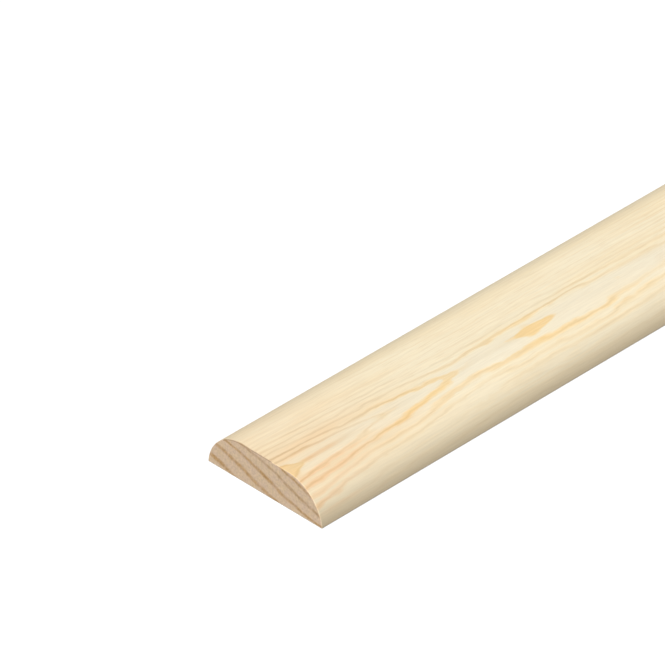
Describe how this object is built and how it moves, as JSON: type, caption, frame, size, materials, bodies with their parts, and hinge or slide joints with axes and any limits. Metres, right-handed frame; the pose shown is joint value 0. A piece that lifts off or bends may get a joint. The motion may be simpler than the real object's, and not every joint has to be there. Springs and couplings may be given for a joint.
{
  "type": "d-shaped moulding",
  "caption": "Straight planed softwood trim of D section: flat back, narrow flat face and rounded long edges, for covering joints and edging panels.",
  "frame": {"origin": "middle of the flat back, half way along the length", "axes": "+X along the length, +Y across the width, +Z out of the back towards the face; it lies on its back"},
  "size_m": [2.4, 0.034, 0.0095],
  "materials": {
    "pine": "planed and unfinished, with sawn ends"
  },
  "bodies": {
    "root": {"moulding": "pine"}
  },
  "joints": []
}
